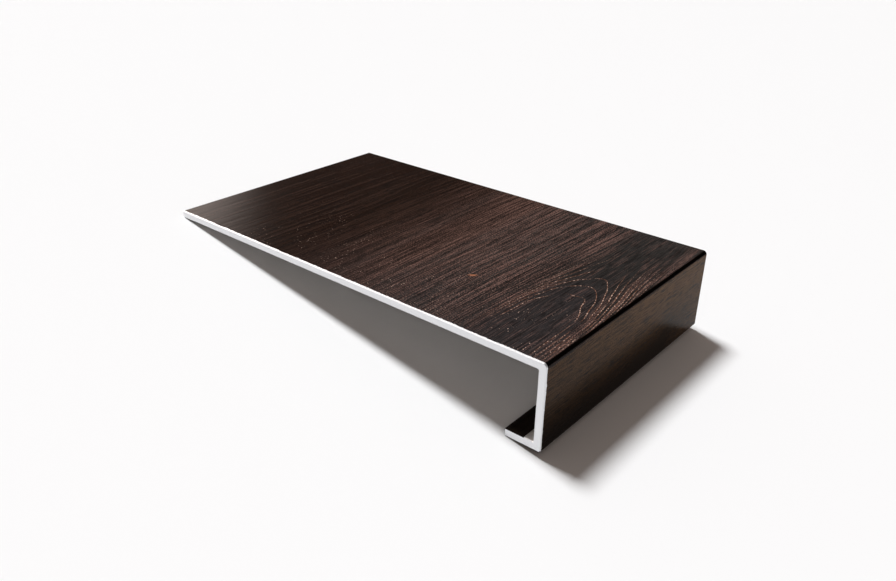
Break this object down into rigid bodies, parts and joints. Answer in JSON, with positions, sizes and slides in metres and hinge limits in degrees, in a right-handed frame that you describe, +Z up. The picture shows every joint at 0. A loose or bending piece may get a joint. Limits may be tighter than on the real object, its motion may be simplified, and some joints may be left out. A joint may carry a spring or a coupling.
{
  "type": "stair tread",
  "caption": "Stair tread cover: a flat wood-grain walking plate turned down into a square nose and a short lip that hooks under the step.",
  "frame": {"origin": "centre of the box's bottom face: on the floor, midway between nose and back edge and between the saw cuts", "axes": "+Z up from the floor; +X towards the nose, across the tread's depth; Y along the nose. The walking plate leans 9.83 degrees about Y, down to its back edge, as the tread rests unheld"},
  "size_m": [0.3042, 0.18, 0.0556],
  "materials": {
    "wood_grain_film": "satin",
    "bare_aluminium": "satin"
  },
  "bodies": {
    "root": {"tread": "wood_grain_film"}
  },
  "joints": []
}
